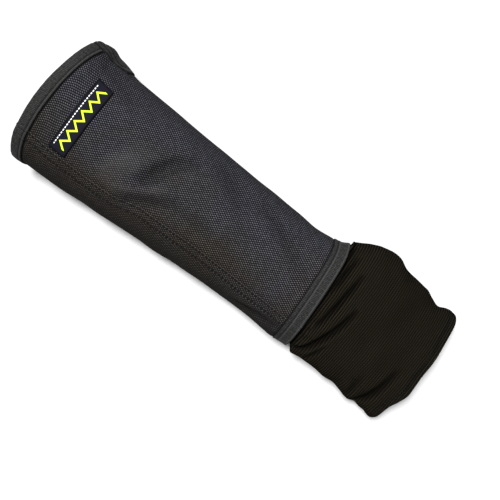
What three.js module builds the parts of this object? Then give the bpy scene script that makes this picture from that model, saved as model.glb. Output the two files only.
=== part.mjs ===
// Cut resistant sleeve: a tapered tube of heavy woven cloth for the forearm, bound with tape at
// both ends, with a knitted cuff sewn inside the wrist end and a label near the elbow end.
// It lies on its side on a flat surface and is flattened where it rests.
// Millimetres, +Z up. X runs along the sleeve: the elbow end is at -X and the cuff's hem at +X.
// An angle round the sleeve is 0 at the +Y side, 90 on top, 180 at the -Y side, -90 underneath.
import * as THREE from "three";

// Woven body
const bodyLength = 353;
const elbowWidth = 152;
const elbowHeight = 71;
const wristWidth = 120;
const wristHeight = 55;
const clothWall = 2;
const elbowScoop = 40;
const wristSlant = 6;
const seamWidth = 11;
const seamRise = 0.8;
const bodyFoldWidth = 12;
const bodyFoldDepth = 2.4;

// Knitted cuff
const cuffLength = 132;
const cuffWidth = 149;
const cuffHeight = 57;
const knitWall = 1.4;
const cuffTuck = 12;
const cuffRoll = 7.5;
const hemDip = 14;
const hemWidth = 9;
const hemRise = 0.5;
const hemStep = 0.5;
const cuffFoldWidth = 5;
const cuffFoldDepth = 3.6;

// Tapes and label
const tapeThickness = 1;
const elbowTapeWidth = 14;
const wristTapeWidth = 12;
const wristStripWidth = 5;
const elbowInnerTapeWidth = 12;
const labelLength = 84;
const labelWidth = 20;
const labelThickness = 1;
const labelFromElbow = 48;
const labelFromSeam = 2;

// Clearance between sewn pieces, and how far the cloth takes to settle from a tape to the surface
const sewnGap = 0.3;
const settleLength = 16;

// Form of a section: where its widest level is, and how far its round underside would reach
// below the surface that it is pressed flat on, both as shares
const widestLevel = 0.44;
const pressedReach = 1.08;

// Mesh steps, and how much steeper than square the elbow edge may count as
const columnStep = 8;
const bodyRows = 14;
const cuffRows = 17;
const cuffRowBias = 1.25;
const seamStepAngle = 0.6;
const foldSteps = 12;
const rollShares = [0.25, 0.5, 0.75];
const steepestEdge = 3;

// Sections of the body. along: share of its length. width: share of the straight taper.
// shift: sideways, share of the taper. height: share of the straight taper in height.
const bodySections = [
  { along: 0.0, width: 0.985, shift: 0.0025, height: 1.0 },
  { along: 0.0375, width: 1.024, shift: 0.012, height: 0.995 },
  { along: 0.068, width: 1.022, shift: 0.009, height: 0.99 },
  { along: 0.1, width: 0.9875, shift: -0.011, height: 0.985 },
  { along: 0.13, width: 0.975, shift: -0.0185, height: 0.98 },
  { along: 0.19, width: 0.959, shift: -0.028, height: 0.97 },
  { along: 0.25, width: 0.9555, shift: -0.031, height: 0.965 },
  { along: 0.37, width: 0.949, shift: -0.028, height: 0.95 },
  { along: 0.49, width: 0.942, shift: -0.034, height: 0.95 },
  { along: 0.61, width: 0.937, shift: -0.03, height: 0.955 },
  { along: 0.73, width: 0.937, shift: -0.033, height: 0.96 },
  { along: 0.85, width: 0.95, shift: -0.045, height: 0.97 },
  { along: 0.912, width: 0.987, shift: -0.0465, height: 0.985 },
  { along: 0.94, width: 1.007, shift: -0.046, height: 0.99 },
  { along: 0.972, width: 1.019, shift: -0.031, height: 1.0 },
  { along: 1.0, width: 1.025, shift: -0.0275, height: 1.0 },
];

// Elbow edge. setback: share of the scoop. tape: how far the tape reaches along the sleeve
// there, share of its width, long where the edge runs down the side behind its corner.
const elbowEdgeRows = [
  { around: -180, setback: 0.078, tape: 1.0 },
  { around: -165, setback: 0.156, tape: 1.02 },
  { around: -140, setback: 0.38, tape: 1.12 },
  { around: -100, setback: 0.78, tape: 1.1 },
  { around: -60, setback: 0.97, tape: 1.02 },
  { around: -15, setback: 1.0, tape: 1.0 },
  { around: 0, setback: 0.925, tape: 1.18 },
  { around: 5, setback: 0.85, tape: 1.39 },
  { around: 11, setback: 0.7, tape: 1.79 },
  { around: 18, setback: 0.5, tape: 2.29 },
  { around: 22, setback: 0.36, tape: 2.54 },
  { around: 24, setback: 0.275, tape: 2.5 },
  { around: 26, setback: 0.228, tape: 2.2 },
  { around: 28, setback: 0.208, tape: 1.84 },
  { around: 31, setback: 0.193, tape: 1.09 },
  { around: 33, setback: 0.185, tape: 1.02 },
  { around: 41, setback: 0.156, tape: 1.0 },
  { around: 64, setback: 0.085, tape: 1.0 },
  { around: 86, setback: 0.02, tape: 1.0 },
  { around: 112, setback: 0.0, tape: 1.0 },
  { around: 135, setback: 0.0, tape: 1.0 },
  { around: 155, setback: 0.045, tape: 1.0 },
  { around: 180, setback: 0.078, tape: 1.0 },
];
const cornerAngles = [33, 28, 26, 24, 19, 11];

// Upper edge of the lap seam. along: share of the body's length. around: degrees.
const seamPath = [
  { along: 0.0, around: 126 },
  { along: 0.25, around: 127.8 },
  { along: 0.33, around: 128.6 },
  { along: 0.38, around: 125.2 },
  { along: 0.43, around: 121.6 },
  { along: 0.6, around: 123 },
  { along: 0.85, around: 125.3 },
  { along: 1.0, around: 124.5 },
];
const seamTopColumn = 126;
const seamFootColumn = 136;

// Creases of the body, each a curve from start over bend to end. Lengths are shares of the
// body's length, around is in degrees, width and depth are shares of the body's fold sizes,
// and a negative depth is a ridge.
const bodyFolds = [
  { startAlong: 0.385, startAround: 106, bendAlong: 0.4, bendAround: 76, endAlong: 0.47, endAround: 58,
    width: 1.0, depth: 1.0 },
  { startAlong: 0.27, startAround: 120, bendAlong: 0.31, bendAround: 102, endAlong: 0.33, endAround: 84,
    width: 1.5, depth: -0.6 },
  { startAlong: 0.32, startAround: 124, bendAlong: 0.38, bendAround: 120, endAlong: 0.43, endAround: 109,
    width: 0.45, depth: -0.5 },
  { startAlong: 0.33, startAround: 130, bendAlong: 0.385, bendAround: 125, endAlong: 0.445, endAround: 114,
    width: 0.4, depth: 0.5 },
  { startAlong: 0.55, startAround: 41, bendAlong: 0.6, bendAround: 54, endAlong: 0.66, endAround: 74,
    width: 1.3, depth: 0.45 },
  { startAlong: 0.79, startAround: 156, bendAlong: 0.86, bendAround: 150, endAlong: 0.93, endAround: 144,
    width: 0.4, depth: 0.5 },
  { startAlong: 0.06, startAround: 36, bendAlong: 0.14, bendAround: 40, endAlong: 0.24, endAround: 52,
    width: 1.2, depth: 0.4 },
];

// Sections of the cuff. along: share of its length past the far side of the wrist end. width
// and shift: shares of the cuff's width. height: share of the cuff's height.
const cuffSections = [
  { along: -0.05, width: 0.936, shift: 0.0185, height: 0.99 },
  { along: 0.0, width: 0.94, shift: 0.0185, height: 0.99 },
  { along: 0.072, width: 0.966, shift: 0.027, height: 1.0 },
  { along: 0.153, width: 0.992, shift: 0.043, height: 1.0 },
  { along: 0.235, width: 0.997, shift: 0.0465, height: 0.99 },
  { along: 0.316, width: 0.995, shift: 0.0445, height: 0.97 },
  { along: 0.397, width: 0.978, shift: 0.03, height: 0.94 },
  { along: 0.478, width: 0.958, shift: 0.0205, height: 0.9 },
  { along: 0.56, width: 0.962, shift: 0.0115, height: 0.86 },
  { along: 0.642, width: 0.966, shift: -0.003, height: 0.82 },
  { along: 0.722, width: 0.9315, shift: -0.0095, height: 0.78 },
  { along: 0.804, width: 0.9255, shift: -0.0225, height: 0.74 },
  { along: 0.885, width: 0.955, shift: -0.021, height: 0.71 },
  { along: 0.95, width: 0.9416, shift: -0.016, height: 0.69 },
  { along: 1.0, width: 0.923, shift: -0.015, height: 0.68 },
];

// End of the cuff. dip: how far the hem stands back, share of the hem's dip.
const hemRows = [
  { around: -180, dip: 0.92 },
  { around: -160, dip: 0.85 },
  { around: -90, dip: 0.5 },
  { around: -20, dip: 0.45 },
  { around: 0, dip: 0.36 },
  { around: 18, dip: 0.19 },
  { around: 30, dip: 0.12 },
  { around: 52, dip: 0.1 },
  { around: 77, dip: 0.0 },
  { around: 95, dip: 0.08 },
  { around: 114, dip: 0.01 },
  { around: 123, dip: 0.2 },
  { around: 138, dip: 0.61 },
  { around: 158, dip: 0.71 },
  { around: 173, dip: 0.9 },
  { around: 180, dip: 0.92 },
];

// Folds of the cuff, in the same columns as the body's, as shares of the cuff's sizes.
const cuffFolds = [
  { startAlong: 0.07, startAround: 33, bendAlong: 0.045, bendAround: 55, endAlong: 0.04, endAround: 80,
    width: 0.8, depth: 0.8 },
  { startAlong: 0.165, startAround: 64, bendAlong: 0.135, bendAround: 90, endAlong: 0.085, endAround: 118,
    width: 0.8, depth: 0.8 },
  { startAlong: 0.27, startAround: 92, bendAlong: 0.2, bendAround: 126, endAlong: 0.05, endAround: 160,
    width: 0.9, depth: 1.0 },
  { startAlong: 0.235, startAround: 132, bendAlong: 0.205, bendAround: 142, endAlong: 0.165, endAround: 162,
    width: 0.6, depth: 0.55 },
  { startAlong: 0.62, startAround: 130, bendAlong: 0.615, bendAround: 146, endAlong: 0.61, endAround: 168,
    width: 1.0, depth: 0.5 },
  { startAlong: 0.83, startAround: 104, bendAlong: 0.78, bendAround: 138, endAlong: 0.7, endAround: 168,
    width: 1.1, depth: 1.0 },
];

// Places worked out from the sizes
const elbowEnd = -(bodyLength + cuffLength) / 2;
const wristEnd = elbowEnd + bodyLength;
const hemEnd = wristEnd + cuffLength;
const tapeStand = tapeThickness + sewnGap;
const innerTapeFace = clothWall + sewnGap;
const neckInset = innerTapeFace + tapeThickness + sewnGap;

function radians(degrees) {
  return degrees * Math.PI / 180;
}

function mix(from, to, share) {
  return from + (to - from) * share;
}

function eased(share) {
  const t = Math.min(Math.max(share, 0), 1);
  return t * t * (3 - 2 * t);
}

// Reads a column of a table between its rows, on a smooth curve that never overshoots them
function readTable(rows, key, column, place) {
  const last = rows.length - 1;
  const at = Math.min(Math.max(place, rows[0][key]), rows[last][key]);
  let row = 0;
  while (row < last - 1 && at > rows[row + 1][key]) {
    row += 1;
  }
  const slope = (k) => (rows[k + 1][column] - rows[k][column]) / (rows[k + 1][key] - rows[k][key]);
  const tangent = (k) => {
    const before = slope(Math.max(k - 1, 0));
    const after = slope(Math.min(k, last - 1));
    return before * after <= 0 ? 0 : 2 * before * after / (before + after);
  };
  const width = rows[row + 1][key] - rows[row][key];
  const t = (at - rows[row][key]) / width;
  const t2 = t * t;
  const t3 = t2 * t;
  return (2 * t3 - 3 * t2 + 1) * rows[row][column]
    + (t3 - 2 * t2 + t) * width * tangent(row)
    + (3 * t2 - 2 * t3) * rows[row + 1][column]
    + (t3 - t2) * width * tangent(row + 1);
}

function elbowEdge(angle) {
  return elbowEnd + elbowScoop * readTable(elbowEdgeRows, "around", "setback", angle);
}

function elbowTapeReach(angle) {
  return elbowTapeWidth * readTable(elbowEdgeRows, "around", "tape", angle);
}

function wristEdge(angle) {
  return wristEnd - wristSlant * (1 + Math.cos(radians(angle))) / 2;
}

function hemEdge(angle) {
  return hemEnd - hemDip * readTable(hemRows, "around", "dip", angle);
}

// Height of the cloth over the surface that it lies on: as much as the tapes stand proud of it
function tapeLift(x, angle) {
  const fromElbowTape = x - elbowEdge(angle) - elbowTapeReach(angle);
  const fromWristTape = wristEdge(angle) - wristTapeWidth - wristStripWidth - x;
  return tapeStand * (1 - eased(Math.min(fromElbowTape, fromWristTape) / settleLength));
}

function bodySection(x) {
  const along = Math.min(Math.max((x - elbowEnd) / bodyLength, 0), 1);
  const taper = mix(elbowWidth, wristWidth, along);
  return {
    width: taper * readTable(bodySections, "along", "width", along),
    shift: taper * readTable(bodySections, "along", "shift", along),
    height: mix(elbowHeight, wristHeight, along) * readTable(bodySections, "along", "height", along),
  };
}

function cuffSection(x) {
  const along = (x - wristEnd) / cuffLength;
  return {
    width: cuffWidth * readTable(cuffSections, "along", "width", along),
    shift: cuffWidth * readTable(cuffSections, "along", "shift", along),
    height: cuffHeight * readTable(cuffSections, "along", "height", along),
  };
}

// A point of a section, moved inwards by inset and outwards by push, and never below the floor
function sectionPoint(section, angle, inset, push, floor) {
  const across = Math.cos(radians(angle));
  const up = Math.sin(radians(angle));
  const level = section.height * widestLevel;
  const halfWidth = section.width / 2;
  const reach = up > 0 ? section.height - level : level * pressedReach;
  const outward = new THREE.Vector2(across / halfWidth, up / reach).normalize();
  const y = section.shift + (halfWidth - inset) * across + push * outward.x;
  const z = level + (reach - inset) * up + push * outward.y;
  return new THREE.Vector2(y, Math.max(z, floor + inset));
}

// How deep the folds are at a place: a valley with a low ridge on each side, and rounded ends
function foldDepth(folds, x, angle, start, length, girthPerDegree, width, depth) {
  let total = 0;
  for (const fold of folds) {
    const curve = (t, from, bend, to) => mix(mix(from, bend, t), mix(bend, to, t), t);
    const point = (t) => new THREE.Vector2(
      length * curve(t, fold.startAlong, fold.bendAlong, fold.endAlong),
      girthPerDegree * curve(t, fold.startAround, fold.bendAround, fold.endAround),
    );
    const here = new THREE.Vector2(x - start, girthPerDegree * angle);
    let nearest = Infinity;
    let fade = 0;
    for (let k = 0; k <= foldSteps; k += 1) {
      const distance = point(k / foldSteps).distanceTo(here);
      if (distance < nearest) {
        nearest = distance;
        fade = Math.sqrt(Math.sin(Math.PI * mix(0.06, 0.94, k / foldSteps)));
      }
    }
    const q = nearest / (width * fold.width);
    total += depth * fold.depth * fade * (1 - 0.8 * q * q) * Math.exp(-q * q);
  }
  return total;
}

// The mesh columns beside the seam follow its path
function seamAngles(section, x) {
  const along = Math.min(Math.max((x - elbowEnd) / bodyLength, 0), 1);
  const top = readTable(seamPath, "along", "around", along);
  const halfWidth = section.width / 2;
  const rise = section.height * (1 - widestLevel);
  const perDegree = radians(Math.hypot(halfWidth * Math.sin(radians(top)), rise * Math.cos(radians(top))));
  return { top, foot: top + seamWidth / perDegree };
}

function followSeam(section, x, column) {
  const seam = seamAngles(section, x);
  if (column <= 90) {
    return column;
  }
  if (column <= seamTopColumn) {
    return mix(90, seam.top, (column - 90) / (seamTopColumn - 90));
  }
  if (column <= seamFootColumn) {
    return mix(seam.top, seam.foot, (column - seamTopColumn) / (seamFootColumn - seamTopColumn));
  }
  return mix(seam.foot, 180, (column - seamFootColumn) / (180 - seamFootColumn));
}

function seamHeight(column) {
  const fromTop = (column - seamTopColumn) / seamStepAngle + 1;
  const fromFoot = (seamFootColumn - column) / seamStepAngle + 1;
  return seamRise * Math.min(Math.max(Math.min(fromTop, fromFoot), 0), 1);
}

// A point of the body: inset 0 is its outer face, clothWall its inner face
function bodyPoint(x, column, inset) {
  const section = bodySection(x);
  const angle = followSeam(section, x, column);
  const girthPerDegree = section.width / 2 * Math.PI / 180;
  const fold = foldDepth(bodyFolds, x, angle, elbowEnd, bodyLength, girthPerDegree,
    bodyFoldWidth, bodyFoldDepth);
  const seam = inset <= 0 ? seamHeight(column) : 0;
  const point = sectionPoint(section, angle, inset, seam - fold, tapeLift(x, column));
  return new THREE.Vector3(x, point.x, point.y);
}

// A point of the cuff: it leaves the wrist end as a neck inside the tape and rolls out behind it
function cuffPoint(x, angle, inset) {
  const edge = wristEdge(angle);
  const neckX = Math.min(x, edge);
  const neck = sectionPoint(bodySection(neckX), angle, neckInset + inset, 0, tapeLift(neckX, angle));
  const section = cuffSection(x);
  const girthPerDegree = section.width / 2 * Math.PI / 180;
  const fold = foldDepth(cuffFolds, x, angle, edge, cuffLength, girthPerDegree,
    cuffFoldWidth, cuffFoldDepth);
  const hem = inset > 0 ? 0 : hemRise * eased((x - hemEdge(angle) + hemWidth) / hemStep);
  const full = sectionPoint(section, angle, inset, hem - fold, 0);
  const out = eased((x - edge - sewnGap) / cuffRoll);
  return new THREE.Vector3(x, mix(neck.x, full.x, out), mix(neck.y, full.y, out));
}

// Columns round a piece, in degrees from -180 up to 180
function evenColumns(step) {
  const count = Math.round(360 / step);
  return Array.from({ length: count }, (_, k) => -180 + k * 360 / count);
}

function bodyColumns() {
  const clear = (angle, taken) => taken.every((other) => Math.abs(other - angle) > columnStep / 4);
  const seam = [
    seamTopColumn - seamStepAngle,
    seamTopColumn,
    seamFootColumn,
    seamFootColumn + seamStepAngle,
  ];
  const special = [...cornerAngles, ...seam];
  const even = evenColumns(columnStep).filter((angle) => clear(angle, special));
  return [...even, ...special].sort((a, b) => a - b);
}

// A closed solid from profiles: each is a closed loop of points, and the last one joins the first
function ringSolid(profiles) {
  const size = profiles[0].length;
  const positions = profiles.flat().flatMap((point) => [point.x, point.y, point.z]);
  const indices = [];
  for (let i = 0; i < profiles.length; i += 1) {
    const next = (i + 1) % profiles.length;
    for (let k = 0; k < size; k += 1) {
      const after = (k + 1) % size;
      const corners = [i * size + k, next * size + k, next * size + after, i * size + after];
      indices.push(corners[0], corners[1], corners[2], corners[0], corners[2], corners[3]);
    }
  }
  return facingOut(positions, indices);
}

// A closed solid from open profiles: the first and the last loop are its ends
function stripSolid(profiles) {
  const size = profiles[0].length;
  const positions = profiles.flat().flatMap((point) => [point.x, point.y, point.z]);
  const indices = [];
  for (let i = 0; i < profiles.length - 1; i += 1) {
    for (let k = 0; k < size; k += 1) {
      const after = (k + 1) % size;
      const corners = [i * size + k, (i + 1) * size + k, (i + 1) * size + after, i * size + after];
      indices.push(corners[0], corners[1], corners[2], corners[0], corners[2], corners[3]);
    }
  }
  const lastLoop = (profiles.length - 1) * size;
  for (let k = 1; k < size / 2; k += 1) {
    const left = [k - 1, k, size - k - 1, size - k];
    indices.push(left[0], left[1], left[2], left[0], left[2], left[3]);
    indices.push(lastLoop + left[0], lastLoop + left[2], lastLoop + left[1]);
    indices.push(lastLoop + left[0], lastLoop + left[3], lastLoop + left[2]);
  }
  return facingOut(positions, indices);
}

// Turns every face outwards: a solid whose volume comes out negative is inside out
function facingOut(positions, indices) {
  const corner = (k) => new THREE.Vector3().fromArray(positions, 3 * indices[k]);
  let volume = 0;
  for (let k = 0; k < indices.length; k += 3) {
    volume += corner(k).dot(corner(k + 1).cross(corner(k + 2)));
  }
  const faces = volume < 0 ? [...indices].reverse() : indices;
  const geometry = new THREE.BufferGeometry();
  geometry.setAttribute("position", new THREE.Float32BufferAttribute(positions, 3));
  geometry.setIndex(faces);
  geometry.computeVertexNormals();
  return geometry;
}

// How much longer a length across the elbow edge is along the sleeve, where the edge is slanted
function edgeSlant(angle) {
  const step = 1;
  const rise = elbowEdge(Math.min(angle + step, 180)) - elbowEdge(Math.max(angle - step, -180));
  const run = 2 * step * radians(elbowHeight / 2);
  return Math.min(Math.hypot(1, rise / run), steepestEdge);
}

// Where the rows of the body's mesh stand at a column, between the two tapes: the label's edges
// and even steps beyond them, drawn along near the ends by the slant of the tapes' borders
function bodyRowPlaces(column) {
  const labelMiddle = elbowEnd + labelFromElbow;
  const labelEnd = labelMiddle + labelWidth / 2;
  const first = elbowEnd + elbowTapeWidth;
  const last = wristEnd - wristTapeWidth - wristStripWidth;
  const places = [first, labelMiddle - labelWidth / 2, labelMiddle];
  for (let row = 0; row <= bodyRows; row += 1) {
    places.push(mix(labelEnd, last, row / bodyRows));
  }
  const elbowSlant = elbowEdge(column) + elbowTapeReach(column) - first;
  const elbowFade = Math.max(labelFromElbow - elbowTapeWidth - labelWidth / 2, 3 * elbowSlant);
  const wristSlip = wristEdge(column) - wristEnd;
  const wristFade = bodyLength / 4;
  return places.map((x) => x
    + elbowSlant * (1 - eased((x - first) / elbowFade))
    + wristSlip * (1 - eased((last - x) / wristFade)));
}

function elbowInnerBorder(column) {
  return elbowEdge(column) + elbowTapeReach(column) * elbowInnerTapeWidth / elbowTapeWidth;
}

function shellGeometry() {
  const profiles = bodyColumns().map((column) => {
    const places = [
      elbowEdge(column) + tapeStand * edgeSlant(column),
      elbowInnerBorder(column),
      ...bodyRowPlaces(column),
      wristEdge(column) - wristTapeWidth,
      wristEdge(column) - tapeStand,
    ];
    const outer = places.map((x) => bodyPoint(x, column, 0));
    const inner = places.map((x) => bodyPoint(x, column, clothWall)).reverse();
    return [...outer, ...inner];
  });
  return ringSolid(profiles);
}

// The tape's section is a U: the outer face, the fold over the raw edge and the inner leg
function elbowBindingGeometry() {
  const profiles = bodyColumns().map((column) => {
    const slant = edgeSlant(column);
    const edge = elbowEdge(column);
    const border = edge + elbowTapeReach(column);
    const bend = edge + tapeThickness * slant;
    const innerBorder = elbowInnerBorder(column);
    return [
      bodyPoint(border, column, -tapeStand),
      bodyPoint(innerBorder, column, -tapeStand),
      bodyPoint(bend, column, -tapeStand),
      bodyPoint(edge, column, 0),
      bodyPoint(edge, column, clothWall),
      bodyPoint(bend, column, innerTapeFace + tapeThickness),
      bodyPoint(innerBorder, column, innerTapeFace + tapeThickness),
      bodyPoint(innerBorder, column, innerTapeFace),
      bodyPoint(bend, column, innerTapeFace),
      bodyPoint(bend, column, -sewnGap),
      bodyPoint(innerBorder, column, -sewnGap),
      bodyPoint(border, column, -sewnGap),
    ];
  });
  return ringSolid(profiles);
}

// The wrist tape has a thinner strip along its border, beyond the row of stitches
function wristBindingGeometry() {
  const stripStand = sewnGap + tapeThickness / 2;
  const profiles = bodyColumns().map((column) => {
    const edge = wristEdge(column);
    const border = edge - wristTapeWidth;
    const stripBorder = border - wristStripWidth;
    const bend = edge - tapeThickness;
    return [
      bodyPoint(stripBorder, column, -stripStand),
      bodyPoint(border, column, -stripStand),
      bodyPoint(border, column, -tapeStand),
      bodyPoint(bend, column, -tapeStand),
      bodyPoint(edge, column, 0),
      bodyPoint(edge, column, clothWall),
      bodyPoint(bend, column, innerTapeFace + tapeThickness),
      bodyPoint(border, column, innerTapeFace + tapeThickness),
      bodyPoint(border, column, innerTapeFace),
      bodyPoint(bend, column, innerTapeFace),
      bodyPoint(bend, column, -sewnGap),
      bodyPoint(border, column, -sewnGap),
      bodyPoint(stripBorder, column, -sewnGap),
    ];
  });
  return ringSolid(profiles);
}

function cuffGeometry() {
  const profiles = evenColumns(columnStep).map((angle) => {
    const edge = wristEdge(angle);
    const hem = hemEdge(angle);
    const rolled = edge + sewnGap + cuffRoll;
    const hemStart = hem - hemWidth;
    const places = [edge - cuffTuck, edge, edge + sewnGap];
    for (const share of rollShares) {
      places.push(mix(edge + sewnGap, rolled, share));
    }
    for (let row = 0; row <= cuffRows; row += 1) {
      places.push(mix(rolled, hemStart, (row / cuffRows) ** cuffRowBias));
    }
    places.push(hemStart + hemStep);
    places.push(hem);
    const outer = places.map((x) => cuffPoint(x, angle, 0));
    const inner = places.map((x) => cuffPoint(x, angle, knitWall)).reverse();
    return [...outer, ...inner];
  });
  return ringSolid(profiles);
}

// The label's column after a walk of the given length round the body, down in angle
function columnAfter(x, from, distance) {
  const step = 0.25;
  let column = from;
  let left = distance;
  let pace = 0;
  while (left > 0) {
    pace = bodyPoint(x, column, 0).distanceTo(bodyPoint(x, column - step, 0));
    column -= step;
    left -= pace;
  }
  return column - step * left / pace;
}

function labelGeometry() {
  const middle = elbowEnd + labelFromElbow;
  const lowEnd = columnAfter(middle, seamTopColumn - seamStepAngle, labelFromSeam);
  const highEnd = columnAfter(middle, lowEnd, labelLength);
  const between = bodyColumns().filter((column) => column < lowEnd - 1 && column > highEnd + 1);
  const columns = [highEnd, ...between, lowEnd];
  const profiles = columns.map((column) => {
    const edges = bodyRowPlaces(column).slice(1, 4);
    const face = edges.map((x) => bodyPoint(x, column, -sewnGap - labelThickness));
    const back = edges.map((x) => bodyPoint(x, column, -sewnGap)).reverse();
    return [...face, ...back];
  });
  return stripSolid(profiles);
}

function piece(name, geometry, colour, roughness) {
  const material = new THREE.MeshStandardMaterial({ color: colour, roughness, metalness: 0 });
  const mesh = new THREE.Mesh(geometry, material);
  mesh.name = name;
  return mesh;
}

const wovenPart = new THREE.Group();
wovenPart.add(piece("sleeve_shell", shellGeometry(), "#37373a", 0.78));
wovenPart.add(piece("elbow_binding", elbowBindingGeometry(), "#414143", 0.82));
wovenPart.add(piece("wrist_binding", wristBindingGeometry(), "#414143", 0.82));
wovenPart.add(piece("label", labelGeometry(), "#121217", 0.6));

const knittedPart = new THREE.Group();
knittedPart.add(piece("knit_cuff", cuffGeometry(), "#1c1b18", 0.92));

// The origin is at the middle of the footprint, on the surface that the sleeve lies on
const sleeve = new THREE.Group();
sleeve.add(wovenPart, knittedPart);
const box = new THREE.Box3().setFromObject(sleeve);
sleeve.position.set(0, -(box.min.y + box.max.y) / 2, 0);

export default sleeve;
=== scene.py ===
# Cut resistant sleeve, lying on a pale surface: woven body, bound ends, knitted cuff and label.
# Sizes are in millimetres, and every mesh is made in metres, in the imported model's frame.
import math
from functools import partial

import bpy
import numpy as np
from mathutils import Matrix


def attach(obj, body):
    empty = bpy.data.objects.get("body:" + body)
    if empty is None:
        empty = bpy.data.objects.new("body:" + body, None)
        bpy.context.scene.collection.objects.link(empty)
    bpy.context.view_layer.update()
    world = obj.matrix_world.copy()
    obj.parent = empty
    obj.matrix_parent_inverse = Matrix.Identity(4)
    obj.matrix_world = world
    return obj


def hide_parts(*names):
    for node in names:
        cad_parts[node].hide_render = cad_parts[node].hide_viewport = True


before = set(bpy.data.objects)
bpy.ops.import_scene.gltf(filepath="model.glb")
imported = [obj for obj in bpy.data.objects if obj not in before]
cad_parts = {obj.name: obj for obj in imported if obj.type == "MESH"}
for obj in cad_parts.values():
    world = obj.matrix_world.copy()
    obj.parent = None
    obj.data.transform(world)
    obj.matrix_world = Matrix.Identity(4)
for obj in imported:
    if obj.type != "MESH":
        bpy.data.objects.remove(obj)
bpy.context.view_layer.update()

metre = 0.001  # metres in a millimetre
print("frame loaded:", ", ".join(sorted(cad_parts)))


def addItem(name, data):
    item = bpy.data.objects.new(name, data)
    bpy.context.scene.collection.objects.link(item)
    return item


# Straight above, turned so that the sleeve runs down to the right
cameraPlace = {
    "x": 19.2, "y": -9.7, "height": 640, "turn": 36.6,
    "viewWidth": 526.6, "viewLevel": 30,  # what fills the frame, and at which height
}


def makeCamera(place):
    camera = bpy.data.cameras.new("camera")
    reach = place["height"] - place["viewLevel"]
    camera.angle = 2 * math.atan(place["viewWidth"] / 2 / reach)
    item = addItem("camera", camera)
    item.location = (place["x"] * metre, place["y"] * metre, place["height"] * metre)
    item.rotation_euler = (0, 0, math.radians(place["turn"]))
    bpy.context.scene.camera = item


makeCamera(cameraPlace)
print("camera placed")


# Each row is one section, place or fold
def tableOf(columns, *rows):
    return {name: np.array([row[k] for row in rows], float) for k, name in enumerate(columns.split())}


# An angle round the sleeve is 0 at the +Y side, 90 on top and 180 at the -Y side
bodyForm = {
    "length": 353, "elbowWidth": 152, "elbowHeight": 71, "wristWidth": 120, "wristHeight": 55,
    "wall": 2, "elbowScoop": 40, "wristSlant": 6, "wristBend": 3.5, "bendAngle": 30,
    "foldWidth": 12, "foldDepth": 2.4,
    "seamWidth": 11, "seamRise": 0.8, "seamTop": 126, "seamFoot": 136,
    "labelFromElbow": 48, "labelWidth": 20,
}
cuffForm = {
    "length": 132, "width": 149, "height": 57, "wall": 1.4, "tuck": 12, "roll": 7.5,
    "hemDip": 14, "hemWidth": 9, "hemRise": 0.5, "foldWidth": 5, "foldDepth": 3.6,
}
tapeForm = {
    "thickness": 1, "elbowWidth": 14, "elbowInnerWidth": 12, "wristWidth": 12, "stripWidth": 5,
    "settle": 16, "foldReach": 1.6, "edgeFrom": 0.2,
}
sewnGap = 0.3
widestLevel = 0.44
pressedReach = 1.08

elbowEnd = -(bodyForm["length"] + cuffForm["length"]) / 2
wristEnd = elbowEnd + bodyForm["length"]
hemEnd = wristEnd + cuffForm["length"]
tapeStand = tapeForm["thickness"] + sewnGap
innerTapeFace = bodyForm["wall"] + sewnGap
neckInset = innerTapeFace + tapeForm["thickness"] + sewnGap

bodySections = tableOf(
    "along width shift height",
    (0.0, 0.985, 0.0025, 1.0),
    (0.0375, 1.024, 0.012, 0.995),
    (0.068, 1.022, 0.009, 0.99),
    (0.1, 0.9875, -0.011, 0.985),
    (0.13, 0.975, -0.0185, 0.98),
    (0.19, 0.959, -0.028, 0.97),
    (0.25, 0.9555, -0.031, 0.965),
    (0.37, 0.949, -0.028, 0.95),
    (0.49, 0.942, -0.034, 0.95),
    (0.61, 0.937, -0.03, 0.955),
    (0.73, 0.937, -0.033, 0.96),
    (0.85, 0.95, -0.045, 0.97),
    (0.912, 0.987, -0.0465, 0.985),
    (0.94, 1.007, -0.046, 0.99),
    (0.972, 1.019, -0.031, 1.0),
    (1.0, 1.025, -0.0275, 1.0),
)
elbowEdgeRows = tableOf(
    "around setback tape",
    (-180, 0.078, 1.0), (-165, 0.156, 1.02), (-140, 0.38, 1.12), (-100, 0.78, 1.1), (-60, 0.97, 1.02),
    (-15, 1.0, 1.0), (0, 0.925, 1.18), (5, 0.85, 1.39), (11, 0.7, 1.79), (18, 0.5, 2.29),
    (22, 0.36, 2.54), (24, 0.275, 2.5), (26, 0.228, 2.2), (28, 0.208, 1.84), (31, 0.193, 1.09),
    (33, 0.185, 1.02), (41, 0.156, 1.0), (64, 0.085, 1.0), (86, 0.02, 1.0), (112, 0.0, 1.0),
    (135, 0.0, 1.0), (155, 0.045, 1.0), (180, 0.078, 1.0),
)
seamPath = tableOf(
    "along around",
    (0.0, 126), (0.25, 127.8), (0.33, 128.6), (0.38, 125.2), (0.43, 121.6), (0.6, 123), (0.85, 125.3),
    (1.0, 124.5),
)
bodyFolds = tableOf(
    "startAlong startAround bendAlong bendAround endAlong endAround width depth",
    (0.385, 106, 0.4, 76, 0.47, 58, 0.9, 2.1),
    (0.27, 120, 0.31, 102, 0.33, 84, 1.5, -1.3),
    (0.31, 121, 0.37, 115, 0.44, 98, 0.75, -1.1),
    (0.36, 123, 0.42, 118, 0.49, 103, 0.8, 1.2),
    (0.55, 41, 0.6, 54, 0.66, 74, 1.3, 1.2),
    (0.69, 50, 0.79, 54, 0.9, 84, 1.2, 1.1),
    (0.5, 101, 0.56, 107, 0.62, 104, 0.9, 0.7),
    (0.79, 156, 0.86, 150, 0.93, 144, 0.55, 1.2),
    (0.06, 36, 0.14, 40, 0.24, 52, 1.2, 0.7),
)
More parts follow.
